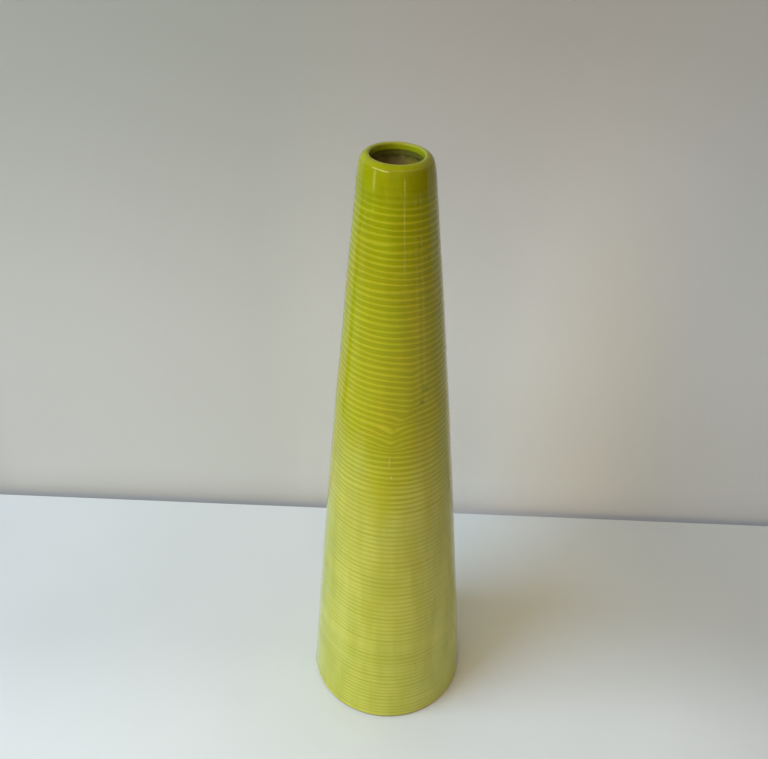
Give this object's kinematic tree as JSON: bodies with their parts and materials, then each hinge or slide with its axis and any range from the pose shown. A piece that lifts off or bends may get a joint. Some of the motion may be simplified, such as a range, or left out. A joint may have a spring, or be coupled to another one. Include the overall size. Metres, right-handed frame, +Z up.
{
  "type": "conical vase",
  "caption": "Tall conical ceramic vase with a soft rounded lip over a narrow mouth, a turned foot, a glossy coloured outer glaze and a lined inside.",
  "frame": {"origin": "on the vase's axis, level with the foot ring that it stands on", "axes": "+Z up along the vase's axis, from the foot to the mouth; the vase is the same all round, so X and Y are free"},
  "size_m": [0.1236, 0.1236, 0.45],
  "materials": {
    "fired_clay": "bare fired clay, fine grained and matte, with faint turning marks",
    "lime_glaze": "glossy translucent yellow-green glaze over fine throwing rings, darker where it pools in the grooves",
    "lining_glaze": "thin clear satin lining over the buff clay"
  },
  "bodies": {
    "root": {"clay_body": "fired_clay", "lime_glaze": "lime_glaze", "lining_glaze": "lining_glaze"}
  },
  "joints": []
}
